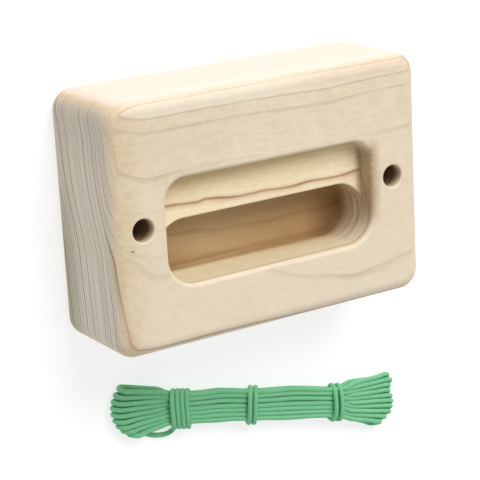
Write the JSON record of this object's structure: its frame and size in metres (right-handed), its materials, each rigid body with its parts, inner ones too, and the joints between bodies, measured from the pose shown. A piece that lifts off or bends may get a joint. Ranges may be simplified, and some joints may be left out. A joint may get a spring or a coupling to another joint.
{
  "type": "climbing finger training block",
  "caption": "Portable wooden finger-training block with a stepped routed pocket and through-holes for its cord, with a tied hank of thin braided cord.",
  "frame": {"origin": "centre of the block's back face, on the floor that the block lies on", "axes": "+X along the block's length, +Y towards the side that is uppermost in use, +Z out of the pocket face"},
  "size_m": [0.1765, 0.197, 0.05],
  "materials": {
    "pale_hardwood": "fine sanded, bare or lightly oiled maple-like hardwood",
    "braided_cord": "matte braided sheath, mint green"
  },
  "bodies": {
    "block": {"wood_block": "pale_hardwood"},
    "hank": {"cord_hank": "braided_cord", "cord_tail": "braided_cord", "tie_left": "braided_cord", "tie_middle": "braided_cord", "tie_right": "braided_cord"}
  },
  "joints": [
    {"name": "hank_lift", "type": "slide", "parent": "block", "child": "hank", "axis": [0, 0, 1], "range_m": [0, 0.08]}
  ]
}
